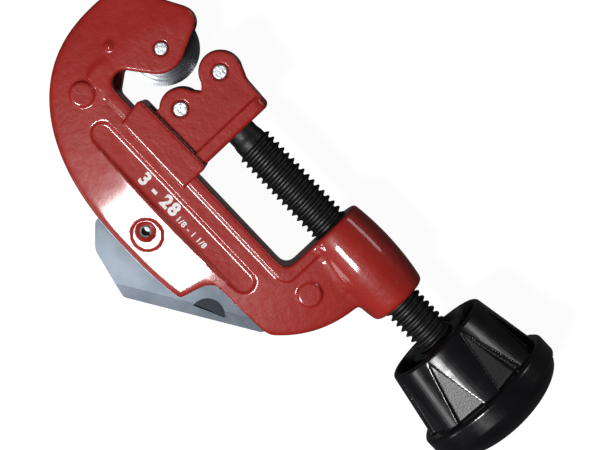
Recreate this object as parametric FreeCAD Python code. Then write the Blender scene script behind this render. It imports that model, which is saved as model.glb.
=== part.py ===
import FreeCAD, Part
import math
import os

# Screw-feed tube cutter with a folding reamer, lying on its side.
# Units are millimetres.  The origin is the cutting point: the place on the screw axis
# where the edge of the cutter wheel meets the tube.  +X runs along the feed screw
# towards the knob, -Y is the spine of the frame, +Z is the front face.

os.makedirs("parts", exist_ok=True)
V = FreeCAD.Vector
ALONG = V(1, 0, 0)
UP = V(0, 0, 1)

# ---- driving dimensions -----------------------------------------------------------

# cutter wheel and its axle in the fork of the hook
wheel_radius = 9.1             # 18.2 mm over the cutting edge
wheel_half_width = 2.7         # half the length of the wheel's hub
wheel_hub_radius = 3.9
wheel_taper_deg = 14.5         # slope of the wheel's disc down to the cutting edge
wheel_axle_radius = 1.6
fork_half = 2.9                # half the width of the slot for the wheel
axle_head_radius = 2.9
axle_head_z = -4.6             # seat of the axle's head in the back cheek

# rollers, with the jaws almost closed
roller_radius = 5.35
roller_half_width = 3.9
roller_axle_radius = 1.8
roller_x = 4.6
roller_y = 6.5                 # half the distance between the two roller axles

# frame casting
plate_half = 6.0               # half the thickness of the flat faces
rail_half = 6.5                # half the thickness over the raised border of the rail
spine_half = 4.0               # half the thickness at the outer edge
face_slope_width = 14.0        # how far in from the spine the faces reach full thickness
edge_radius = 1.4              # rounding of the outer edge
rail_top_y = -14.9
rail_border = 2.7              # width of the raised border round the window
window_end_x = 50.5            # window wall below the barrel
panel_depth = 1.0              # sunken label panel
panel_low_y = -28.0
panel_high_y = -21.2
spine_centre_x = 20.8          # the spine follows a superellipse about this point
spine_centre_y = -5.0
spine_half_length = 48.8
spine_half_height = 35.2
spine_power = 2.35
barrel_end_x = 75.7
barrel_end_radius = 8.0
barrel_mid_radius = 8.9

# feed screw, right-hand thread
pitch = 1.8
crest_radius = 5.05
root_radius = 4.1
crest_width = 0.25
thread_clearance = 0.17
thread_start_x = 22.8
neck_radius = 3.83
shoulder_x = 14.3              # shoulder that pushes the slide
spigot_radius = 2.5
spigot_end_x = 9.9
clip_x = 11.05                 # middle of the retaining ring
clip_half = 0.4
clip_bore_radius = 2.0
knob_shank_x = 89.5            # the thread ends just inside the knob
shank_end_x = 103.0

# slide
slide_plate_half = 7.0
slide_lug_half = 9.0
cavity_half = 4.1              # roller space between the ears
cavity_end_x = 11.6
thrust_face_x = 13.6           # bottom of the screw's bore
thrust_wall_x = 14.9           # thick end wall that the screw pushes on
thrust_wall_half = 7.7
thrust_wall_top_y = 9.7
slide_end_x = 18.4
slide_gap = 0.1                # clearance on the rail
running_gap = 0.05             # radial clearance of every turning fit

# reamer and its pivot
reamer_x = 20.2
reamer_y = -33.3
blade_half = 1.1
slot_half = 1.5
pivot_pin_radius = 1.5
pivot_pin_end = 4.7
washer_gap = 0.03              # play beside each thin washer

# knob
knob_start_x = 88.6
knob_rim_radius = 14.2
knob_shoulder_x = 105.5
knob_shoulder_radius = 17.3
knob_flange_radius = 19.2
knob_flange_end_x = 111.0
knob_lands = 8
knob_turn_deg = 2.5            # how far the knob is turned at rest
flute_half_width = 4.0         # half the width of a flute's floor at the shoulder
flute_deep_side = 2.9          # depth of a flute's two sides at the shoulder
flute_shallow_side = 1.5
hub_radius = 7.8               # sleeve that holds the screw
cap_end_x = 118.0
store_radius = 12.2            # hollow behind the end cap
spare_wheel_x = 110.6
end_screw_radius = 2.0
end_washer_x = 103.5
end_washer_thickness = 0.8

# ---- sizes worked out from them ---------------------------------------------------

axle_x = -wheel_radius
web_outer_x = spine_centre_x + spine_half_length
thread_depth = crest_radius - root_radius
flank_run = thread_depth * math.tan(math.radians(30))
far = 60.0                     # longer than any cut it is used for


# ---- helpers ----------------------------------------------------------------------

def cylinder_z(radius, low, high, x=0.0, y=0.0):
    """Upright cylinder between two heights."""
    return Part.makeCylinder(radius, high - low, V(x, y, low), UP)


def cylinder_x(radius, start, end, y=0.0, z=0.0):
    """Cylinder along the screw axis between two places."""
    return Part.makeCylinder(radius, end - start, V(start, y, z), ALONG)


def block(low, high):
    """Box between two corners."""
    size = [b - a for a, b in zip(low, high)]
    return Part.makeBox(size[0], size[1], size[2], V(*low))


def rounded_path(corners, z, closed):
    """Lines through (x, y, radius) corners, each corner rounded by a tangent arc."""
    count = len(corners)
    points = [V(x, y, z) for x, y, _ in corners]
    edges = []
    last = points[0]
    first = None
    for i in range(count):
        radius = corners[i][2]
        end_corner = not closed and i in (0, count - 1)
        if radius == 0 or end_corner:
            before = after = points[i]
            middle = None
        else:
            back = (points[i - 1] - points[i]).normalize()
            ahead = (points[(i + 1) % count] - points[i]).normalize()
            half_angle = back.getAngle(ahead) / 2
            reach = radius / math.tan(half_angle)
            before = points[i] + back * reach
            after = points[i] + ahead * reach
            inward = (back + ahead).normalize()
            middle = points[i] + inward * (radius / math.sin(half_angle) - radius)
        if i == 0:
            first = before
        elif last.distanceToPoint(before) > 1e-6:
            edges.append(Part.makeLine(last, before))
        if middle is not None:
            edges.append(Part.Arc(before, middle, after).toShape())
        last = after
    if closed:
        edges.append(Part.makeLine(last, first))
    return edges


def rounded_prism(corners, low, high):
    """Upright prism on a closed outline of rounded corners."""
    wire = Part.Wire(rounded_path(corners, low, True))
    return Part.Face(wire).extrude(V(0, 0, high - low))


def turned_x(profile):
    """Solid of revolution about the screw axis from (x, radius) points."""
    wire = Part.makePolygon([V(x, r, 0) for x, r in profile + profile[:1]])
    return Part.Face(wire).revolve(V(0, 0, 0), ALONG, 360)


def turned_z(profile, x, y):
    """Solid of revolution about an upright axis at (x, y) from (radius, z) points."""
    wire = Part.makePolygon([V(x + r, y, z) for r, z in profile + profile[:1]])
    return Part.Face(wire).revolve(V(x, y, 0), UP, 360)


def both_sides(solid):
    """The solid and its mirror image on the other side of the mid-plane."""
    return [solid, solid.mirror(V(0, 0, 0), UP)]


def edges_where(solid, test):
    """Edges whose middle point passes the test."""
    found = []
    for edge in solid.Edges:
        middle = edge.valueAt((edge.FirstParameter + edge.LastParameter) / 2)
        if test(middle, edge):
            found.append(edge)
    return found


def superellipse_point(angle, inset, z):
    """Point of the spine's curve, moved inwards by the inset."""
    power = 2 / spine_power
    x = math.copysign(abs(math.cos(angle)) ** power, math.cos(angle))
    y = math.copysign(abs(math.sin(angle)) ** power, math.sin(angle))
    half_x = spine_half_length - inset
    half_y = spine_half_height - inset
    return V(spine_centre_x + half_x * x, spine_centre_y + half_y * y, z)


def spine_curve(start, end, steps, inset, z):
    """Smooth curve along the superellipse between two angles in degrees."""
    curve = Part.BSplineCurve()
    angles = [math.radians(start + (end - start) * i / steps) for i in range(steps + 1)]
    curve.interpolate([superellipse_point(a, inset, z) for a in angles])
    return curve.toShape()


def ridge(radius_in, radius_out, width_in, width_out, start, turns):
    """Helical thread ridge about the screw axis, in phase for every whole number of turns."""
    helix = Part.makeHelix(pitch, turns * pitch, radius_in)
    outline = [
        V(radius_in, 0, -width_in / 2),
        V(radius_out, 0, -width_out / 2),
        V(radius_out, 0, width_out / 2),
        V(radius_in, 0, width_in / 2),
    ]
    profile = Part.makePolygon(outline + outline[:1])
    thread = Part.Wire(helix.Edges).makePipeShell([profile], True, True)
    thread.rotate(V(0, 0, 0), V(0, 1, 0), 90)
    thread.translate(V(start, 0, 0))
    return thread


# ---- frame ------------------------------------------------------------------------

# corner points of the inside of the hook and the window, from the crown to the barrel
hook_shoulder = (-16.1, 9.2, 0)
crown = (-9.27, 13.14, 3.9)
nose = (-1.72, -2.28, 7.1)
throat_upper = (-12.1, -10.5, 1.6)
throat_lower = (-12.1, rail_top_y, 2.7)
window_corner = (window_end_x, rail_top_y, 2.5)
hook_back = [(-26.7, 1.2), (-22.3, 5.9)]


def frame_outline(z):
    """Outline of the whole frame plate: hook, rail, web and spine."""
    inside = [
        hook_shoulder, crown, nose, throat_upper, throat_lower, window_corner,
        (window_end_x, 0, 0), (web_outer_x, 0, 0), (web_outer_x, spine_centre_y, 0),
    ]
    edges = rounded_path(inside, z, False)
    spine = spine_curve(0, -180, 36, 0, z)
    back = Part.BSplineCurve()
    route = [V(spine_centre_x - spine_half_length, spine_centre_y, z)]
    route += [V(x, y, z) for x, y in hook_back]
    route.append(V(hook_shoulder[0], hook_shoulder[1], z))
    back.interpolate(route, InitialTangent=V(0, 1, 0), FinalTangent=V(0.866, 0.5, 0))
    return Part.Wire(edges + [spine, back.toShape()])


def half_pillow():
    """Upper half of the thickness: flat face that slopes down to a rounded spine edge."""
    levels = []
    for angle in (10, 35, 60, 85):
        turn = math.radians(angle)
        inset = edge_radius * (1 - math.cos(turn)) - 0.1
        levels.append((inset, spine_half - edge_radius * (1 - math.sin(turn))))
    levels[0] = (levels[0][0] - 0.2, levels[0][1] - 0.6)
    levels += [
        (face_slope_width - 3.2, plate_half - 0.32), (face_slope_width - 1.6, plate_half - 0.09),
        (face_slope_width, plate_half),
    ]
    wires = []
    for inset, z in levels:
        curve = Part.BSplineCurve()
        points = [superellipse_point(math.radians(a), inset, z) for a in range(0, 360, 8)]
        curve.interpolate(points, PeriodicFlag=True)
        wires.append(Part.Wire(curve.toShape()))
    slope = Part.makeLoft(wires, True, True)
    core = Part.Face(wires[0]).extrude(V(0, 0, -2 * spine_half))
    return slope.fuse(core)


def window_border():
    """Raised border along the rail and up the web, with a bevelled outer edge."""
    low_y = rail_top_y - rail_border
    high_y = rail_top_y + 3
    right_x = window_end_x + rail_border
    web_end_y = -4.0
    fade_start_x = -15.0       # the border rises out of the face from here
    fade_end_x = -7.5
    bevel = 0.35
    levels = []
    for grow, z in ((bevel, plate_half - 0.3), (0, rail_half)):
        corners = [
            (fade_start_x - 2, high_y, 0), (fade_start_x - 2, low_y - grow, 0),
            (right_x + grow, low_y - grow, 3.0), (right_x + grow, web_end_y, 0),
            (window_end_x - 1, web_end_y, 0), (window_end_x - 1, high_y, 0),
        ]
        levels.append(Part.Wire(rounded_path(corners, z, True)))
    border = Part.makeLoft(levels, True, True)
    face_z = plate_half - 0.05
    above = [
        (-far, face_z), (fade_start_x, face_z), (fade_end_x, rail_half), (fade_end_x, far), (-far, far),
    ]
    route = [V(x, -far, z) for x, z in above]
    fade = Part.Face(Part.makePolygon(route + route[:1])).extrude(V(0, 2 * far, 0))
    return border.cut(fade)


def obround(x0, x1, y0, y1, inset, z):
    """Slot outline with round ends, pulled in by the inset."""
    radius = (y1 - y0) / 2 - inset
    corners = [
        (x0 + inset, y0 + inset, radius - 0.01), (x1 - inset, y0 + inset, radius - 0.01),
        (x1 - inset, y1 - inset, radius - 0.01), (x0 + inset, y1 - inset, radius - 0.01),
    ]
    return Part.Wire(rounded_path(corners, z, True))


def label_panel():
    """Sunken panel with sloping walls below the rail."""
    start_x = -7.4
    end_x = 48.9
    wall_run = 0.8             # how far the wall slopes in from mouth to floor
    mouth = obround(start_x, end_x, panel_low_y, panel_high_y, 0, plate_half + 0.2)
    floor = obround(start_x, end_x, panel_low_y, panel_high_y, wall_run, plate_half - panel_depth)
    return Part.makeLoft([floor, mouth], True, True)


def round_pads():
    """Two flat ejector pads and a small casting mark on each face."""
    pad_radius = 3.0
    proud = 0.2
    pads = []
    for x, y in ((-14.2, -21.4), (58.8, -14.8)):
        pad = cylinder_z(pad_radius, spine_half / 2, plate_half + proud, x, y)
        rim = edges_where(pad, lambda p, e: p.z > plate_half and len(e.Vertexes) < 2)
        pads.append(pad.makeChamfer(proud, rim))
    pads.append(Part.makeCone(1.3, 0.4, 0.6, V(-17.9, -8.7, plate_half - 0.4), UP))
    return pads


def pivot_boss():
    """Low round boss about the reamer pivot, square to the sloping face."""
    slope = 0.177
    proud = 0.22
    height = 2.0
    top = V(reamer_x + 0.9, reamer_y - 0.3, 4.97)
    axis = V(0, -slope, 1).normalize()
    boss = Part.makeCylinder(3.9, height, top - axis * (height - proud), axis)
    rim = edges_where(boss, lambda p, e: p.z > top.z - 0.7 and len(e.Vertexes) < 2)
    return boss.makeChamfer(0.18, rim)


def barrel_root():
    """Filled corner where the barrel meets the front and back faces of the web."""
    section = [(-8.4, plate_half - 0.05), (-6.4, 6.4), (-4.7, 7.3), (-4.7, 4.0), (-8.4, 4.0)]
    start = [V(window_end_x + 0.2, y, z) for y, z in section]
    end = [V(window_end_x + 14.0, y + 0.6, z - 0.5) for y, z in section]
    wires = [Part.makePolygon(route + route[:1]) for route in (start, end)]
    return Part.makeLoft(wires, True, True)


def barrel():
    """Threaded boss for the feed screw, swelling towards its middle."""
    middle = V((window_end_x + barrel_end_x) / 2 - 1, barrel_mid_radius, 0)
    start = V(window_end_x, barrel_end_radius, 0)
    end = V(barrel_end_x, barrel_end_radius - 0.4, 0)
    side = Part.Arc(start, middle, end).toShape()
    lines = [
        Part.makeLine(end, V(barrel_end_x, 0, 0)),
        Part.makeLine(V(barrel_end_x, 0, 0), V(window_end_x, 0, 0)),
        Part.makeLine(V(window_end_x, 0, 0), start),
    ]
    boss = Part.Face(Part.Wire([side] + lines)).revolve(V(0, 0, 0), ALONG, 360)
    rim = edges_where(boss, lambda p, e: p.x > barrel_end_x - 0.01 and abs(p.y) + abs(p.z) > 5)
    return boss.makeFillet(1.3, rim)


def nut_thread():
    """Space for the feed screw inside the barrel: bore and helical groove."""
    slack = thread_clearance / math.cos(math.radians(30))
    bore_radius = root_radius + thread_clearance
    groove_out = crest_radius + thread_clearance
    inner = bore_radius - 0.2
    width_in = crest_width + 2 * slack + 2 * (crest_radius - inner) * math.tan(math.radians(30))
    lead_turns = 2
    before = math.ceil((thread_start_x - window_end_x) / pitch) * pitch
    start = thread_start_x - before - lead_turns * pitch
    turns = math.ceil((barrel_end_x - start) / pitch) + 1
    groove = ridge(inner, groove_out, width_in, crest_width + 2 * slack * 0.6, start, turns)
    bore = cylinder_x(bore_radius, window_end_x - 8, barrel_end_x + 8)
    return bore.fuse(groove)


def reamer_slot():
    """Slot in the spine that takes the folded reamer and the turning butt."""
    corners = [
        (2.4, -60, 0), (2.4, -28.0, 2.0), (12.3, -20.2, 4.0), (27.0, -20.2, 4.0),
        (62.0, -27.7, 1.0), (80.0, -31.5, 0), (80.0, -60, 0),
    ]
    return rounded_prism(corners, -slot_half, slot_half)


def thumb_outline(grow, z):
    """Outline of the thumb opening, made wider by the growth."""
    corners = [
        (36.6 - grow, -44.0, 0), (40.3 - grow * 0.8, -29.9 + grow, 4.2), (57.5, -29.6 + grow, 3.0),
        (64.0, -27.9 + grow, 0), (75.0 + grow, -60.0, 0),
    ]
    return Part.Wire(rounded_path(corners, z, True))


def thumb_cutout():
    """Opening in the front plate that bares the reamer's nail nick, and its bevelled mouth."""
    bevel_z = spine_half + 0.7
    bevel = 3.0
    opening = Part.Face(thumb_outline(0, 0)).extrude(V(0, 0, far))
    mouth = Part.makeLoft([thumb_outline(0, bevel_z), thumb_outline(bevel, bevel_z + bevel)], True, True)
    return [opening, mouth]


def throat_web():
    """Corner web that stiffens the back half of the throat."""
    corners = [(-13, -16.4, 0), (-13, -9.0, 0), (-7.4, -16.4, 0)]
    return rounded_prism(corners, -rail_half + 0.4, -0.5)


def make_frame():
    """Frame casting: hook, spine, rail, web and threaded barrel in one piece."""
    plate = Part.Face(frame_outline(0)).extrude(V(0, 0, plate_half + 1))
    upper = plate.common(half_pillow())
    upper = upper.fuse(window_border().common(plate))
    upper = upper.cut(label_panel())
    for pad in round_pads() + [pivot_boss(), barrel_root()]:
        upper = upper.fuse(pad)
    lower = upper.mirror(V(0, 0, 0), UP).fuse(throat_web())
    upper = upper.cut(thumb_cutout())
    frame = upper.fuse(lower).removeSplitter()
    axle_hole = cylinder_z(wheel_axle_radius, -far, far, axle_x, 0)
    axle_recess = cylinder_z(wheel_axle_radius + 0.35, plate_half - 0.5, far, axle_x, 0)
    head_recess = cylinder_z(axle_head_radius + 0.15, -far, axle_head_z, axle_x, 0)
    fork_slot = cylinder_z(wheel_radius + 1.0, -fork_half, fork_half, axle_x, 0)
    pivot_hole = cylinder_z(pivot_pin_radius, -far, far, reamer_x, reamer_y)
    pivot_recesses = both_sides(cylinder_z(2.3, pivot_pin_end, far, reamer_x, reamer_y))
    cuts = [axle_hole, axle_recess, head_recess, fork_slot, pivot_hole, reamer_slot()]
    frame = frame.fuse(barrel()).removeSplitter()
    return frame.cut(cuts + pivot_recesses).cut(nut_thread())


# ---- frame's own pins and washers -------------------------------------------------

def make_wheel_axle():
    """Headed axle pin with a slotted head at the back and a plain end at the front."""
    pin = cylinder_z(wheel_axle_radius, axle_head_z, plate_half + 0.35, axle_x, 0)
    pin = pin.makeFillet(0.35, edges_where(pin, lambda p, e: p.z > plate_half and len(e.Vertexes) < 2))
    head = cylinder_z(axle_head_radius, axle_head_z - 1.5, axle_head_z, axle_x, 0)
    rim = edges_where(head, lambda p, e: p.z < axle_head_z - 1 and len(e.Vertexes) < 2)
    head = head.makeChamfer(0.3, rim)
    driver_slot = block((axle_x - 4, -0.4, axle_head_z - 2), (axle_x + 4, 0.4, axle_head_z - 0.8))
    return pin.fuse(head).removeSplitter().cut(driver_slot)


def make_reamer_pin():
    """Slotted spring pin that the reamer swings on."""
    tube = cylinder_z(pivot_pin_radius, -pivot_pin_end, pivot_pin_end, reamer_x, reamer_y)
    tube = tube.cut(cylinder_z(pivot_pin_radius - 0.45, -far, far, reamer_x, reamer_y))
    split = block((reamer_x, reamer_y - 0.2, -far), (reamer_x + 3, reamer_y + 0.2, far))
    return tube.cut(split)


def make_reamer_washer(low, high, dish):
    """Thin washer beside the blade; a dished one keeps it from swinging freely."""
    outer = 4.2
    inner = pivot_pin_radius + 0.1
    under = low + washer_gap
    over = high - washer_gap
    profile = [(inner, under), (outer, under + dish), (outer, over), (inner, over - dish)]
    return turned_z(profile, reamer_x, reamer_y)


# ---- reamer -----------------------------------------------------------------------

def edge_bevel(start, end, side):
    """Material to cut away on one side of the blade to leave a bevelled edge."""
    width = 3.0
    land = 0.25                # half the thickness left at the edge
    outside = 2.0              # how far the cut reaches past the edge
    spare = 4.0                # extra length at both ends
    along = (end - start).normalize()
    inward = V(-along.y, along.x, 0)
    section = [
        (inward * width, blade_half), (inward * -outside, blade_half * 1.7),
        (inward * -outside, -0.05), (inward * 0, land),
    ]
    corners = [start + shift + V(0, 0, side * z) - along * spare for shift, z in section]
    profile = Part.makePolygon(corners + corners[:1])
    return Part.Face(profile).extrude(along * ((end - start).Length + 2 * spare))


def nail_nick():
    """Half-round nick in the front of the blade, straight along its lower side."""
    depth = 0.8
    disc = cylinder_z(4.3, blade_half - depth, far, 45.8, -37.1)
    chord = [(39.0, -39.2, 0), (52.0, -33.1, 0), (52.0, -25.0, 0), (39.0, -25.0, 0)]
    return disc.common(rounded_prism(chord, 0, far))


def make_reamer():
    """Pointed reamer blade with a rounded butt, bevelled edge and nail nick."""
    outline = [
        (13.2, -32.0, 5.0), (9.6, -40.6, 2.0), (15.0, -45.9, 4.5), (28.4, -49.1, 1.6),
        (58.0, -30.5, 0.8), (58.9, -29.0, 0.5), (22.0, -27.2, 5.0), (15.5, -27.6, 4.0),
    ]
    blade = rounded_prism(outline, -blade_half, blade_half)
    bevels = [edge_bevel(V(28.4, -49.1, 0), V(58.0, -30.5, 0), side) for side in (1, -1)]
    pivot = cylinder_z(pivot_pin_radius + running_gap, -far, far, reamer_x, reamer_y)
    return blade.cut(bevels).cut([nail_nick(), pivot])


# ---- slide ------------------------------------------------------------------------

def slide_channel():
    """Foot of the slide that straddles the rail, with softened lugs."""
    outline = [(-3.9, -11.8, 1.2), (-2.7, -19.2, 0.5), (19.0, -19.2, 0.5), (19.0, -11.4, 1.0)]
    foot = rounded_prism(outline, -slide_lug_half, slide_lug_half)
    rims = edges_where(foot, lambda p, e: abs(p.z) > slide_lug_half - 0.01)
    inner = rail_half + slide_gap
    channel = block((-far, -far, -inner), (far, rail_top_y + slide_gap, inner))
    return foot.makeFillet(0.7, rims).cut(channel)


def slide_ears():
    """Two pairs of ears for the rollers with the neck behind them."""
    ear_radius = 5.1
    half = slide_plate_half
    outline = [
        (0.9, -12.5, 0), (0.9, -8.5, 0), (0.5, -4.0, 0), (2.6, -2.1, 0.6), (5.0, 0.0, 0.5),
        (2.6, 2.1, 0.6), (0.5, 4.0, 0), (4.6, 11.5, 0), (7.0, 11.2, 1.5), (10.2, 9.9, 3.0),
        (thrust_wall_x + 1, 9.7, 0), (thrust_wall_x + 1, -8.0, 0), (thrust_wall_x, -12.5, 0),
    ]
    body = rounded_prism(outline, -half, half)
    for side in (1, -1):
        body = body.fuse(cylinder_z(ear_radius, -half, half, roller_x, side * roller_y))
    body = body.removeSplitter()
    rims = edges_where(body, lambda p, e: abs(p.z) > half - 0.01 and p.x < thrust_wall_x and p.y > -11)
    return body.makeFillet(0.5, rims)


def thrust_wall():
    """Thick end wall of the slide that the screw pushes on."""
    foot_y = -12.6
    corner = 2.6
    half = thrust_wall_half
    top_y = thrust_wall_top_y
    section = [(foot_y, -half, 0), (top_y, -half, corner), (top_y, half, corner), (foot_y, half, 0)]
    wall = rounded_prism(section, thrust_wall_x, slide_end_x)
    wall.rotate(V(0, 0, 0), V(1, 1, 1), 120)     # turns X, Y, Z into Y, Z, X
    rims = edges_where(wall, lambda p, e: p.x > slide_end_x - 0.01 and p.y > foot_y + 0.5)
    return wall.makeFillet(1.2, rims)


def make_slide():
    """Roller slide: foot, ears, thrust flange for the screw and the roller space."""
    slide = slide_ears().fuse(thrust_wall()).fuse(slide_channel())
    root = cavity_end_x
    cavity = block((-1.2, -12.15, -cavity_half), (root, far, cavity_half))
    spigot_hole = cylinder_x(spigot_radius + running_gap, root - 1, thrust_face_x + 1)
    journal = cylinder_x(neck_radius + running_gap + 0.03, thrust_face_x, far)
    cuts = [cavity, spigot_hole, journal]
    for side in (1, -1):
        y = side * roller_y
        cuts.append(cylinder_z(roller_axle_radius, -far, far, roller_x, y))
        cuts += both_sides(cylinder_z(roller_axle_radius + 0.4, slide_plate_half - 0.5, far, roller_x, y))
    return slide.cut(cuts).removeSplitter()


def make_roller_pin(side):
    """Plain roller pin with rounded ends, pressed into both ears."""
    reach = slide_plate_half + 0.25
    pin = cylinder_z(roller_axle_radius, -reach, reach, roller_x, side * roller_y)
    return pin.makeFillet(0.35, edges_where(pin, lambda p, e: abs(p.z) > reach - 0.01))


def make_roller(side):
    """Hardened roller with a relief groove that lets the wheel come close."""
    bore = roller_axle_radius + running_gap
    profile = [
        (bore, -roller_half_width), (roller_radius - 0.3, -roller_half_width),
        (roller_radius, -roller_half_width + 0.3), (roller_radius, -1.5), (roller_radius - 0.85, -1.0),
        (roller_radius - 0.85, 1.0), (roller_radius, 1.5), (roller_radius, roller_half_width - 0.3),
        (roller_radius - 0.3, roller_half_width), (bore, roller_half_width),
    ]
    return turned_z(profile, roller_x, side * roller_y)


# ---- cutter wheel -----------------------------------------------------------------

def wheel_profile():
    """Half section of a cutter wheel: hub, tapered disc and sharp edge."""
    bore = wheel_axle_radius + running_gap
    edge_half = 0.04
    disc_start = wheel_hub_radius + 0.3
    taper = math.tan(math.radians(wheel_taper_deg))
    disc_half = edge_half + (wheel_radius - disc_start) * taper
    upper = [
        (bore, wheel_half_width), (wheel_hub_radius - 0.3, wheel_half_width),
        (wheel_hub_radius, wheel_half_width - 0.3), (disc_start, disc_half), (wheel_radius, edge_half),
    ]
    return upper + [(r, -z) for r, z in reversed(upper)]


def make_wheel():
    """Cutter wheel in the fork of the hook."""
    return turned_z(wheel_profile(), axle_x, 0)


def make_spare_wheel():
    """Second cutter wheel kept on the post inside the knob's end cap."""
    wheel = turned_z(wheel_profile(), 0, 0)
    wheel.rotate(V(0, 0, 0), V(0, 1, 0), 90)
    wheel.translate(V(spare_wheel_x, 0, 0))
    return wheel


# ---- feed screw -------------------------------------------------------------------

def make_screw():
    """Feed screw: spigot with clip groove, journal, thread and shank for the knob."""
    groove_low = clip_x - clip_half - 0.04
    groove_high = clip_x + clip_half + 0.04
    flare_end_x = thread_start_x - 1.4
    journal = turned_x([
        (spigot_end_x, 0), (spigot_end_x, spigot_radius - 0.4), (spigot_end_x + 0.4, spigot_radius),
        (groove_low, spigot_radius), (groove_low, clip_bore_radius), (groove_high, clip_bore_radius),
        (groove_high, spigot_radius), (shoulder_x, spigot_radius), (shoulder_x, neck_radius - 0.3),
        (shoulder_x + 0.3, neck_radius), (flare_end_x - 1.2, neck_radius), (flare_end_x, root_radius),
        (flare_end_x, 0),
    ])
    turns = math.floor((knob_shank_x - thread_start_x) / pitch)
    sink = 0.4                 # the ridge starts this far below the thread's root
    sunk_width = crest_width + 2 * flank_run + 2 * sink * math.tan(math.radians(30))
    thread = ridge(root_radius - sink, crest_radius, sunk_width, crest_width, thread_start_x, turns)
    threaded = cylinder_x(root_radius, flare_end_x, shank_end_x).fuse(thread)
    tapped_hole = cylinder_x(end_screw_radius, shank_end_x - 11, shank_end_x + 1)
    return threaded.cut(tapped_hole).fuse(journal)


def make_thrust_washer():
    """Washer between the screw's shoulder and the bottom of the slide's bore."""
    inner = spigot_radius + running_gap
    washer = cylinder_x(neck_radius - 0.1, thrust_face_x + 0.03, shoulder_x - 0.03)
    return washer.cut(cylinder_x(inner, thrust_face_x - 1, shoulder_x + 1))


def make_clip():
    """E-shaped retaining ring on the end of the feed screw."""
    low = clip_x - clip_half
    high = clip_x + clip_half
    ring = cylinder_x(4.0, low, high).cut(cylinder_x(3.1, low - 1, high + 1))
    for angle in (0, 105, -105):
        tooth = block((low, 2.0, -0.9), (high, 3.6, 0.9))
        tooth.rotate(V(0, 0, 0), ALONG, angle)
        ring = ring.fuse(tooth)
    mouth = block((low - 1, -6, -2.2), (high + 1, -1, 2.2))
    ring = ring.cut(mouth)
    return ring.cut(cylinder_x(clip_bore_radius + 0.02, low - 1, high + 1)).removeSplitter()


# ---- knob -------------------------------------------------------------------------

def flute_cutter(angle):
    """Triangular flute from a point on the rim to the shoulder, deeper along one side."""
    tip_x = knob_start_x + 0.3
    end_x = knob_shoulder_x
    tip_z = knob_rim_radius - 0.1
    deep_z = knob_shoulder_radius - flute_deep_side
    shallow_z = knob_shoulder_radius - flute_shallow_side
    rise = 6.0
    flare = 1.1                # the side walls lean outwards by this much over the rise
    half = flute_half_width
    floor = [V(tip_x, 0, tip_z), V(end_x, half, deep_z), V(end_x, -half, shallow_z)]
    mouth = [
        V(tip_x - flare, 0, tip_z + rise), V(end_x, half + flare, deep_z + rise),
        V(end_x, -half - flare, shallow_z + rise),
    ]
    wires = [Part.makePolygon(route + route[:1]) for route in (floor, mouth)]
    flute = Part.makeLoft(wires, True, True)
    flute.rotate(V(0, 0, 0), ALONG, angle)
    return flute


def make_knob():
    """Hollow fluted knob with a shoulder flange and a recess for the end cap."""
    rim_wall = 1.3
    hollow_end_x = knob_start_x + 9
    body = turned_x([
        (knob_start_x, 0), (knob_start_x, knob_rim_radius - 0.4), (knob_start_x + 0.4, knob_rim_radius),
        (knob_shoulder_x, knob_shoulder_radius), (knob_shoulder_x, 0),
    ])
    step = 360 / knob_lands
    body = body.cut([flute_cutter(step * (i + 0.5) - knob_turn_deg) for i in range(knob_lands)])
    flange = turned_x([
        (knob_shoulder_x, 0), (knob_shoulder_x, knob_flange_radius - 0.7),
        (knob_shoulder_x + 0.7, knob_flange_radius), (knob_flange_end_x - 0.4, knob_flange_radius),
        (knob_flange_end_x, knob_flange_radius - 0.4), (knob_flange_end_x, 0),
    ])
    hollow_radius = knob_rim_radius - rim_wall
    front_hollow = turned_x([
        (knob_start_x - 1, hub_radius), (knob_start_x - 1, hollow_radius),
        (hollow_end_x, hollow_radius - 0.9), (hollow_end_x, hub_radius),
    ])
    hub_relief = cylinder_x(hub_radius + 0.1, knob_start_x - 1, knob_start_x + 0.5)
    hub_bore = cylinder_x(root_radius, knob_start_x - 1, end_washer_x)
    thread_relief = cylinder_x(crest_radius + 0.15, knob_start_x - 1, knob_shank_x + 1.2)
    rear_hollow = cylinder_x(store_radius, end_washer_x, far * 2)
    return body.fuse(flange).cut([front_hollow, hub_relief, hub_bore, thread_relief, rear_hollow])


def make_cap():
    """Domed end cap that snaps into the knob and carries the spare wheel on a post."""
    wall = 1.4
    seat_x = knob_flange_end_x
    rim = knob_flange_radius - 0.9
    snap_depth = 2.5           # how far the cap's skirt reaches into the knob
    skirt = store_radius - 0.03
    inner_x = cap_end_x - wall
    dome = [
        (seat_x, rim), (seat_x + 1.2, rim - 0.35), (seat_x + 3.2, rim - 2.2), (seat_x + 4.8, rim - 5.2),
        (seat_x + 6.0, rim - 9.0), (cap_end_x - 0.3, 5.0), (cap_end_x, 0),
    ]
    curve = Part.BSplineCurve()
    curve.interpolate([V(x, r, 0) for x, r in dome], FinalTangent=V(0, -1, 0))
    corners = [
        V(cap_end_x, 0, 0), V(inner_x, 0, 0), V(inner_x, 8.5, 0), V(seat_x + wall, skirt - wall, 0),
        V(seat_x - snap_depth, skirt - wall, 0), V(seat_x - snap_depth, skirt, 0), V(seat_x, skirt, 0),
        V(seat_x, rim, 0),
    ]
    profile = Part.Wire([curve.toShape()] + [Part.makeLine(a, b) for a, b in zip(corners, corners[1:])])
    shell = Part.Face(profile).revolve(V(0, 0, 0), ALONG, 360)
    post = cylinder_x(wheel_axle_radius, spare_wheel_x - wheel_half_width, inner_x + 0.2)
    collar = cylinder_x(2.6, spare_wheel_x + wheel_half_width + running_gap, inner_x + 0.2)
    return shell.fuse([post, collar]).removeSplitter()


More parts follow.
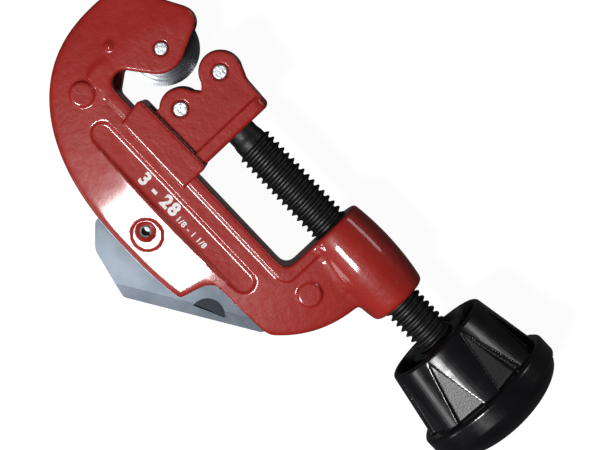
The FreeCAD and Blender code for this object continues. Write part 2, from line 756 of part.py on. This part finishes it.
def make_end_washer():
    """Washer under the head of the screw that holds the knob on."""
    ring = cylinder_x(6.5, end_washer_x, end_washer_x + end_washer_thickness)
    return ring.cut(cylinder_x(end_screw_radius + 0.1, end_washer_x - 1, end_washer_x + 2))


def make_end_screw():
    """Cross-recessed screw that clamps the knob to the feed screw."""
    seat = end_washer_x + end_washer_thickness
    head = turned_x([
        (seat, 0), (seat, 3.7), (seat + 0.9, 3.7), (seat + 1.7, 2.7), (seat + 2.0, 1.2), (seat + 2.0, 0),
    ])
    shank = cylinder_x(end_screw_radius, shank_end_x - 9, seat)
    recess = []
    for size in ((1.6, 0.35), (0.35, 1.6)):
        recess.append(block((seat + 0.8, -size[0], -size[1]), (seat + 3, size[0], size[1])))
    return head.fuse(shank).removeSplitter().cut(recess)


parts = {
    "frame_casting": make_frame(),
    "wheel_axle_pin": make_wheel_axle(),
    "reamer_pivot_pin": make_reamer_pin(),
    "reamer_plain_washer": make_reamer_washer(blade_half, slot_half, 0),
    "reamer_spring_washer": make_reamer_washer(-slot_half, -blade_half, 0.1),
    "reamer_blade": make_reamer(),
    "slide_casting": make_slide(),
    "roller_pin_upper": make_roller_pin(1),
    "roller_pin_lower": make_roller_pin(-1),
    "roller_upper": make_roller(1),
    "roller_lower": make_roller(-1),
    "cutter_wheel": make_wheel(),
    "feed_screw": make_screw(),
    "screw_thrust_washer": make_thrust_washer(),
    "screw_retaining_ring": make_clip(),
    "knob": make_knob(),
    "knob_end_cap": make_cap(),
    "knob_end_washer": make_end_washer(),
    "knob_end_screw": make_end_screw(),
    "spare_cutter_wheel": make_spare_wheel(),
}

for name, shape in parts.items():
    if len(shape.Solids) == 1:
        shape = shape.Solids[0]
    print(name, "valid" if shape.isValid() else "NOT VALID", "solids", len(shape.Solids),
          "faces", len(shape.Faces), "volume", round(shape.Volume, 1))
    shape.exportStep("parts/" + name + ".step")
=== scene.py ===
import math

import bpy
from mathutils import Matrix, Vector


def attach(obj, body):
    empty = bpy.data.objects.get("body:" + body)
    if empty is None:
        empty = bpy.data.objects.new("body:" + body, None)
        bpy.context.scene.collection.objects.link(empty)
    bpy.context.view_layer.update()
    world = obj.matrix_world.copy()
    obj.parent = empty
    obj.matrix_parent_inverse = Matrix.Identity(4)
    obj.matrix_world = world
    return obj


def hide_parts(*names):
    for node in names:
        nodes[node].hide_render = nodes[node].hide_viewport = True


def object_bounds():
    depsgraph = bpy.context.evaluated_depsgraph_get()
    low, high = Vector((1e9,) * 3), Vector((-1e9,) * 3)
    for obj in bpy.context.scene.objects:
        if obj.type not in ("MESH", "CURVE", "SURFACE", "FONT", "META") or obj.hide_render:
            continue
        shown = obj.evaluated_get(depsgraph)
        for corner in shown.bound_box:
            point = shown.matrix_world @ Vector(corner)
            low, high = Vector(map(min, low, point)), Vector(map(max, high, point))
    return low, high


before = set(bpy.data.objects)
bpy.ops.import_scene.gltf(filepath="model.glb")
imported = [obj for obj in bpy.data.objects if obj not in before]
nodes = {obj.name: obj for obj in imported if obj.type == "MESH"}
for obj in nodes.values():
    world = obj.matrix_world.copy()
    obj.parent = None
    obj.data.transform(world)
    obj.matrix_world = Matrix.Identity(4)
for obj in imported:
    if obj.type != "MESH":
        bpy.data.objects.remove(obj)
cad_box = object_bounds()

MM = 0.001

# places and sizes on the tool, in millimetres
wheel_axle = (-9.1, 0.0)
roller_axle_x = 4.6
roller_axle_y = 6.5            # half the distance between the two roller axles
knob_start_x = 88.6
knob_shoulder_x = 105.5
knob_rim_radius = 14.2
knob_shoulder_radius = 17.3
panel_line_y = -26.0           # foot of the numerals in the sunken panel
panel_print_z = 5.02           # just proud of the panel's floor
screw_bore_radius = 6.6
screw_bore_start_x = 47.0
window_box = ((52.0, -19.0), (55.5, -3.0))
label_box = ((-9.5, -30.0), (52.0, -16.3))
crisp_discs = [                # centre x, centre y and radius
    (-14.2, -21.4, 4.5),       # left pad
    (58.8, -14.8, 4.5),        # right pad
    (*wheel_axle, 3.6),        # end of the wheel axle
    (20.9, -33.5, 5.2),        # boss round the reamer pivot
    (-17.9, -8.7, 2.5),        # casting mark
]

# nail nick of the reamer, whose floor gets painted shade, in millimetres
nick_centre = (45.8, -37.1)
nick_radius = 4.4
nick_chord_slope = 0.469
nick_chord_height = -57.5


# ---- materials --------------------------------------------------------------------

class Recipe:
    """A node material under construction around one Principled shader."""

    def __init__(self, name):
        self.material = bpy.data.materials.new(name)
        self.material.use_nodes = True
        self.tree = self.material.node_tree
        self.shader = self.tree.nodes["Principled BSDF"]
        self.place = self.add("ShaderNodeTexCoord").outputs["Object"]

    def add(self, kind, **settings):
        """New node with the given properties."""
        node = self.tree.nodes.new(kind)
        for key, value in settings.items():
            setattr(node, key, value)
        return node

    def link(self, source, target):
        self.tree.links.new(source, target)

    def set(self, **values):
        """Fixed values for the shader's inputs."""
        for key, value in values.items():
            self.shader.inputs[key.replace("_", " ")].default_value = value

    def stretched(self, scale):
        """Object coordinates stretched along each axis."""
        mapping = self.add("ShaderNodeMapping")
        mapping.inputs["Scale"].default_value = scale
        self.link(self.place, mapping.inputs["Vector"])
        return mapping.outputs["Vector"]

    def noise(self, size, detail=3.0, roughness=0.5, stretch=None):
        """Noise whose cells are about `size` metres across."""
        node = self.add("ShaderNodeTexNoise")
        node.inputs["Scale"].default_value = 1.0 / size
        node.inputs["Detail"].default_value = detail
        node.inputs["Roughness"].default_value = roughness
        self.link(self.stretched(stretch) if stretch else self.place, node.inputs["Vector"])
        return node.outputs["Fac"]

    def remap(self, source, low, high, to_low, to_high):
        """Linear map of a value, clamped."""
        node = self.add("ShaderNodeMapRange")
        node.inputs["From Min"].default_value = low
        node.inputs["From Max"].default_value = high
        node.inputs["To Min"].default_value = to_low
        node.inputs["To Max"].default_value = to_high
        self.link(source, node.inputs["Value"])
        return node.outputs["Result"]

    def math(self, operation, first, second):
        """One arithmetic step on two values, each a socket or a number."""
        node = self.add("ShaderNodeMath", operation=operation)
        for socket, value in zip(node.inputs, (first, second)):
            if isinstance(value, bpy.types.NodeSocket):
                self.link(value, socket)
            else:
                socket.default_value = value
        return node.outputs["Value"]

    def blend(self, factor, first, second):
        """Mix of two colours by a value."""
        node = self.add("ShaderNodeMix", data_type="RGBA")
        self.link(factor, node.inputs["Factor"])
        for socket, colour in ((node.inputs["A"], first), (node.inputs["B"], second)):
            if isinstance(colour, bpy.types.NodeSocket):
                self.link(colour, socket)
            else:
                socket.default_value = (*colour, 1.0)
        return node.outputs["Result"]

    def edges(self):
        """Bright on convex edges, dark in corners, from the mesh itself."""
        return self.add("ShaderNodeNewGeometry").outputs["Pointiness"]

    def bump(self, height, distance, strength=1.0):
        """Adds one bump layer on top of the ones before it."""
        node = self.add("ShaderNodeBump")
        node.inputs["Distance"].default_value = distance
        node.inputs["Strength"].default_value = strength
        self.link(height, node.inputs["Height"])
        earlier = self.shader.inputs["Normal"].links
        if earlier:
            self.link(earlier[0].from_socket, node.inputs["Normal"])
        self.link(node.outputs["Normal"], self.shader.inputs["Normal"])

    def feed(self, name, source):
        self.link(source, self.shader.inputs[name])


def red_paint():
    """Glossy red enamel over a die casting, with orange peel and slightly worn edges."""
    r = Recipe("red_enamel")
    cloud = r.remap(r.noise(9 * MM, 4), 0.3, 0.7, 0, 1)
    colour = r.blend(cloud, (0.345, 0.0150, 0.0105), (0.395, 0.0200, 0.0135))
    worn = r.remap(r.edges(), 0.53, 0.60, 0, 0.25)
    colour = r.blend(worn, colour, (0.42, 0.045, 0.03))
    r.feed("Base Color", colour)
    r.feed("Roughness", r.remap(r.noise(2.2 * MM, 4), 0.3, 0.7, 0.40, 0.52))
    r.set(Specular_IOR_Level=0.28, Coat_Weight=1.0, Coat_Roughness=0.09)
    r.bump(r.noise(0.9 * MM, 2), 0.06 * MM, 0.8)
    r.bump(r.noise(2.2 * MM, 3), 0.16 * MM, 0.8)
    r.bump(r.noise(5.5 * MM, 2), 0.20 * MM, 0.6)
    return r.material


def bright_steel():
    """Zinc-plated pin ends, slightly hammered where they were peened."""
    r = Recipe("bright_pin_steel")
    tone = r.remap(r.noise(0.8 * MM, 4), 0.3, 0.7, 0, 1)
    r.feed("Base Color", r.blend(tone, (0.55, 0.62, 0.70), (0.92, 0.95, 0.98)))
    r.feed("Roughness", r.remap(r.noise(0.5 * MM, 3), 0.3, 0.7, 0.34, 0.50))
    r.set(Metallic=1.0)
    r.bump(r.noise(0.9 * MM, 2), 0.16 * MM, 0.9)
    r.bump(r.noise(0.25 * MM, 3), 0.02 * MM, 0.5)
    return r.material


def tool_steel(name, centre):
    """Hardened steel turned about an upright axis, with fine lathe rings and a dark oil film."""
    r = Recipe(name)
    shifted = r.add("ShaderNodeVectorMath", operation="SUBTRACT")
    r.link(r.place, shifted.inputs[0])
    shifted.inputs[1].default_value = (centre[0] * MM, centre[1] * MM, 0)
    flat = r.add("ShaderNodeVectorMath", operation="MULTIPLY")
    r.link(shifted.outputs["Vector"], flat.inputs[0])
    flat.inputs[1].default_value = (1, 1, 0)
    radius = r.add("ShaderNodeVectorMath", operation="LENGTH")
    r.link(flat.outputs["Vector"], radius.inputs[0])
    rings = r.add("ShaderNodeTexNoise", noise_dimensions="1D")
    rings.inputs["Scale"].default_value = 1 / (0.5 * MM)
    rings.inputs["Detail"].default_value = 3
    r.link(radius.outputs["Value"], rings.inputs["W"])
    stain = r.remap(r.noise(2.5 * MM, 5), 0.35, 0.7, 0, 1)
    colour = r.blend(stain, (0.10, 0.105, 0.115), (0.16, 0.17, 0.18))
    colour = r.blend(r.remap(rings.outputs["Fac"], 0.35, 0.65, 0, 0.6), colour, (0.05, 0.052, 0.056))
    colour = r.blend(r.remap(r.edges(), 0.53, 0.66, 0, 0.5), colour, (0.45, 0.46, 0.48))
    r.feed("Base Color", colour)
    r.feed("Roughness", r.remap(rings.outputs["Fac"], 0.3, 0.7, 0.30, 0.42))
    r.set(Metallic=1.0)
    r.bump(rings.outputs["Fac"], 0.012 * MM, 0.7)
    return r.material


def small_steel():
    """Dark phosphated steel of the small hidden hardware."""
    r = Recipe("phosphated_steel")
    tone = r.remap(r.noise(0.9 * MM, 4), 0.3, 0.7, 0, 1)
    r.feed("Base Color", r.blend(tone, (0.05, 0.052, 0.055), (0.11, 0.11, 0.115)))
    r.feed("Roughness", r.remap(r.noise(0.5 * MM, 3), 0.3, 0.7, 0.35, 0.5))
    r.set(Metallic=0.9)
    r.bump(r.noise(0.3 * MM, 3), 0.015 * MM, 0.5)
    return r.material


def nick_painted_shade(r):
    """Mask of the painted shade in the nail nick: its sunken floor, a disc above a slanted chord,
    below the face.
    """
    centre = (nick_centre[0] * MM, nick_centre[1] * MM)
    chord_height = nick_chord_height * MM
    split = r.add("ShaderNodeSeparateXYZ")
    r.link(r.place, split.inputs[0])
    x, y, z = split.outputs
    over = r.math("SUBTRACT", y, r.math("MULTIPLY", x, nick_chord_slope))
    above_chord = r.remap(over, chord_height + 0.05 * MM, chord_height + 0.25 * MM, 0, 1)
    sunken = r.remap(z, 0.6 * MM, 1.0 * MM, 1, 0)
    across = r.math("POWER", r.math("SUBTRACT", x, centre[0]), 2.0)
    along = r.math("POWER", r.math("SUBTRACT", y, centre[1]), 2.0)
    distance = r.math("SQRT", r.math("ADD", across, along), 0.0)
    in_disc = r.remap(distance, nick_radius * MM, (nick_radius + 0.1) * MM, 1, 0)
    return r.math("MULTIPLY", r.math("MULTIPLY", above_chord, sunken), in_disc)


def blade_steel():
    """Satin zinc-plated sheet steel with long rolling marks and faint handling scratches, and painted
    shade on the nail nick's floor.
    """
    r = Recipe("satin_blade_steel")
    tone = r.remap(r.noise(7 * MM, 4), 0.35, 0.65, 0, 1)
    colour = r.blend(tone, (0.140, 0.165, 0.200), (0.190, 0.220, 0.255))
    # painted shade: the floor of the nail nick is coloured nearly black, as the recess looks when in
    # shadow
    r.feed("Base Color", r.blend(nick_painted_shade(r), colour, (0.028, 0.033, 0.040)))
    lines = r.noise(0.6 * MM, 2, stretch=(0.05, 1.0, 1.0))
    r.feed("Roughness", r.remap(lines, 0.3, 0.7, 0.275, 0.30))
    r.set(Metallic=0.95)
    r.bump(r.noise(0.35 * MM, 3), 0.008 * MM, 0.5)
    return r.material


def black_oxide():
    """Oily black oxide on the rolled thread."""
    r = Recipe("black_oxide_steel")
    tone = r.remap(r.noise(1.2 * MM, 4), 0.3, 0.7, 0, 1)
    colour = r.blend(tone, (0.010, 0.010, 0.011), (0.022, 0.022, 0.024))
    colour = r.blend(r.remap(r.edges(), 0.52, 0.62, 0, 0.3), colour, (0.14, 0.14, 0.15))
    r.feed("Base Color", colour)
    r.feed("Roughness", r.remap(r.noise(0.6 * MM, 3), 0.3, 0.7, 0.42, 0.60))
    r.set(Metallic=0.5, Specular_IOR_Level=0.6)
    r.bump(r.noise(0.4 * MM, 3), 0.015 * MM, 0.5)
    return r.material


def cone_depth(r):
    """How far a point of the knob lies below the cone of its lands, in metres."""
    split = r.add("ShaderNodeSeparateXYZ")
    r.link(r.place, split.inputs[0])
    x, y, z = split.outputs
    radius = r.math("SQRT", r.math("ADD", r.math("POWER", y, 2.0), r.math("POWER", z, 2.0)), 0.0)
    start, shoulder = knob_start_x * MM, knob_shoulder_x * MM
    cone = r.remap(x, start, shoulder, knob_rim_radius * MM, knob_shoulder_radius * MM)
    return r.math("SUBTRACT", cone, radius)


def black_plastic():
    """Moulded black plastic: polished lands and a sparked, duller texture in the flutes."""
    r = Recipe("black_moulded_plastic")
    tone = r.remap(r.noise(8 * MM, 4), 0.3, 0.7, 0, 1)
    r.feed("Base Color", r.blend(tone, (0.0020, 0.0020, 0.0032), (0.0045, 0.0045, 0.0065)))
    texture = r.remap(cone_depth(r), 0.3 * MM, 0.7 * MM, 0, 1)
    polish = r.remap(r.noise(3 * MM, 4), 0.3, 0.7, 0.19, 0.25)
    rough = r.add("ShaderNodeMix", data_type="FLOAT")
    r.link(texture, rough.inputs["Factor"])
    r.link(polish, rough.inputs["A"])
    rough.inputs["B"].default_value = 0.42
    r.feed("Roughness", rough.outputs["Result"])
    r.set(IOR=1.62)
    r.bump(r.math("MULTIPLY", r.noise(0.45 * MM, 2), texture), 0.07 * MM, 0.8)
    r.bump(r.noise(6 * MM, 2), 0.10 * MM, 0.35)
    return r.material


def white_print():
    """Slightly worn white pad print."""
    r = Recipe("white_print")
    tone = r.remap(r.noise(0.5 * MM, 4), 0.35, 0.6, 0, 1)
    r.feed("Base Color", r.blend(tone, (0.80, 0.79, 0.79), (0.97, 0.97, 0.96)))
    r.set(Roughness=0.4)
    return r.material


# ---- stage ------------------------------------------------------------------------

def pale_floor():
    """Plain white floor just under the lowest point of the tool."""
    lowest = cad_box[0][2]
    half = 1.5
    gap = 0.2 * MM
    mesh = bpy.data.meshes.new("floor")
    z = lowest - gap
    corners = [(-half, -half, z), (half, -half, z), (half, half, z), (-half, half, z)]
    mesh.from_pydata(corners, [], [(0, 1, 2, 3)])
    floor = bpy.data.objects.new("floor", mesh)
    bpy.context.scene.collection.objects.link(floor)
    r = Recipe("pale_floor")
    tone = r.remap(r.noise(0.06, 2), 0.3, 0.7, 0, 1)
    r.feed("Base Color", r.blend(tone, (0.13, 0.13, 0.13), (0.15, 0.15, 0.15)))
    r.set(Roughness=0.9, Emission_Color=(1, 1, 1, 1), Emission_Strength=0.95)
    mesh.materials.append(r.material)
    floor.visible_diffuse = False
    floor.visible_glossy = False


def area_light(name, direction, distance, size, power, target):
    """Soft box at a distance from the target, which shines on it from a direction."""
    light = bpy.data.lights.new(name, "AREA")
    light.shape = "RECTANGLE"
    light.size, light.size_y = size
    light.energy = power
    lamp = bpy.data.objects.new(name, light)
    bpy.context.scene.collection.objects.link(lamp)
    way = Vector(direction).normalized()
    lamp.location = target + way * distance
    lamp.rotation_euler = way.to_track_quat("Z", "Y").to_euler()


def studio_light():
    """Faint white surroundings, one main box towards the spine and a low fill on each side."""
    world = bpy.data.worlds.new("studio")
    world.use_nodes = True
    world.node_tree.nodes["Background"].inputs["Color"].default_value = (1, 1, 1, 1)
    world.node_tree.nodes["Background"].inputs["Strength"].default_value = 0.05
    bpy.context.scene.world = world
    middle = Vector((0.03, -0.01, 0))
    area_light("main_box", (0.045, -0.470, 0.880), 0.9, (0.19, 0.22), 7.0, middle)
    area_light("far_side_box", (-0.05, 0.93, 0.36), 1.1, (0.5, 0.18), 1.1, middle)
    area_light("spine_side_box", (-0.05, -0.98, 0.18), 1.1, (0.5, 0.18), 1.1, middle)


def photo_camera():
    """Camera nearly square to the front face, turned so that the screw runs down to the right."""
    camera = bpy.data.cameras.new("camera")
    camera.sensor_width = 36.0
    camera.lens = 100.0
    camera.clip_start = 0.01
    eye = bpy.data.objects.new("camera", camera)
    bpy.context.scene.collection.objects.link(eye)
    place = Vector((0.0108, 0.0201, 0.4078))
    aim = Vector((0.0452, -0.0052, 0.0))
    picture_up = Vector((-0.725, 0.681, 0.0))
    look = (aim - place).normalized()
    right = look.cross(picture_up).normalized()
    up = right.cross(look)
    turn = Matrix((right, up, -look)).transposed()
    eye.matrix_world = Matrix.Translation(place) @ turn.to_4x4()
    bpy.context.scene.camera = eye


# ---- the tool ---------------------------------------------------------------------

def inside(x, y, low, high):
    """Whether a point lies in the flat box between two (x, y) corners, in millimetres."""
    return low[0] < x < high[0] and low[1] < y < high[1]


def well_rounded(point):
    """Whether the frame's corners are broadly rounded here, away from its crisp details."""
    x, y, z = (c / MM for c in point)
    in_box = inside(x, y, *label_box) or inside(x, y, *window_box)
    threaded_bore = x > screw_bore_start_x and math.hypot(y, z) < screw_bore_radius
    on_disc = any(math.hypot(x - u, y - v) < radius for u, v, radius in crisp_discs)
    return not (in_box or threaded_bore or on_disc)


def evaluated_mesh(thing):
    """The mesh of an object with its modifiers applied."""
    bpy.context.view_layer.update()
    return bpy.data.meshes.new_from_object(thing.evaluated_get(bpy.context.evaluated_depsgraph_get()))


def smooth_modifier(thing, name, rounds, group=""):
    """Adds a modifier that relaxes the surface, everywhere or in one vertex group."""
    relax = thing.modifiers.new(name, "SMOOTH")
    relax.factor = 0.5
    relax.iterations = rounds
    relax.vertex_group = group


def soft_skin(node, body, voxel, rounds, broad_rounds=0):
    """Copy of a moulding with its sharp corners softened, as casting and paint leave them."""
    raw = bpy.data.objects.new(node + "_raw", nodes[node].data.copy())
    bpy.context.scene.collection.objects.link(raw)
    remesh = raw.modifiers.new("skin", "REMESH")
    remesh.mode = "VOXEL"
    remesh.voxel_size = voxel
    raw.data = evaluated_mesh(raw)
    raw.modifiers.clear()
    if broad_rounds:
        group = raw.vertex_groups.new(name="broad")
        group.add([v.index for v in raw.data.vertices if well_rounded(v.co)], 1.0, "REPLACE")
        smooth_modifier(raw, "broad", broad_rounds, "broad")
    smooth_modifier(raw, "soften", rounds)
    thin = raw.modifiers.new("thin", "DECIMATE")
    thin.ratio = 0.4
    mesh = evaluated_mesh(raw)
    bpy.data.objects.remove(raw)
    mesh.shade_smooth()
    mesh.materials.clear()
    mesh.materials.append(finishes[worn_by[node]])
    piece = bpy.data.objects.new(node + "_skin", mesh)
    bpy.context.scene.collection.objects.link(piece)
    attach(piece, body)
    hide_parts(node)


def panel_print(name, text, start_x, size, boldness):
    """Line of white numerals printed on the floor of the sunken panel."""
    curve = bpy.data.curves.new(name, "FONT")
    curve.body = text
    curve.size = size * MM
    curve.offset = boldness * MM
    curve.space_character = 1.15
    curve.extrude = 0.015 * MM
    curve.resolution_u = 6
    letters = bpy.data.objects.new(name + "_curve", curve)
    bpy.context.scene.collection.objects.link(letters)
    mesh = evaluated_mesh(letters)
    bpy.data.objects.remove(letters)
    mesh.transform(Matrix.Translation((start_x * MM, panel_line_y * MM, panel_print_z * MM)))
    mesh.materials.clear()
    mesh.materials.append(finishes["print"])
    piece = bpy.data.objects.new(name, mesh)
    bpy.context.scene.collection.objects.link(piece)
    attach(piece, "frame")


def dress(node, material):
    """Gives a CAD node its material."""
    skin = nodes[node].data.materials
    skin.clear()
    skin.append(material)


finishes = {
    "red": red_paint(),
    "pin": bright_steel(),
    "wheel": tool_steel("wheel_steel", wheel_axle),
    "roller_up": tool_steel("upper_roller_steel", (roller_axle_x, roller_axle_y)),
    "roller_low": tool_steel("lower_roller_steel", (roller_axle_x, -roller_axle_y)),
    "small": small_steel(),
    "blade": blade_steel(),
    "oxide": black_oxide(),
    "plastic": black_plastic(),
    "print": white_print(),
}
worn_by = {
    "frame_casting": "red", "slide_casting": "red",
    "wheel_axle_pin": "pin", "roller_pin_upper": "pin", "roller_pin_lower": "pin",
    "reamer_plain_washer": "pin", "reamer_spring_washer": "pin", "screw_thrust_washer": "pin",
    "knob_end_washer": "pin", "knob_end_screw": "pin",
    "reamer_pivot_pin": "small", "roller_upper": "roller_up", "roller_lower": "roller_low",
    "cutter_wheel": "wheel", "screw_retaining_ring": "small", "spare_cutter_wheel": "small",
    "reamer_blade": "blade", "feed_screw": "oxide", "knob": "plastic", "knob_end_cap": "plastic",
}

pale_floor()
studio_light()
photo_camera()
for node, finish in worn_by.items():
    dress(node, finishes[finish])

soft_skin("frame_casting", "frame", 0.26 * MM, 3, 50)
soft_skin("slide_casting", "slide", 0.20 * MM, 7)
soft_skin("knob", "screw", 0.21 * MM, 5)
panel_print("capacity_print_mm", "3 - 28", 9.8, 4.5, 0.2)
panel_print("capacity_print_inch", "1/8 - 1 1/8", 23.0, 2.0, 0.06)

bpy.context.scene.view_settings.view_transform = "Standard"
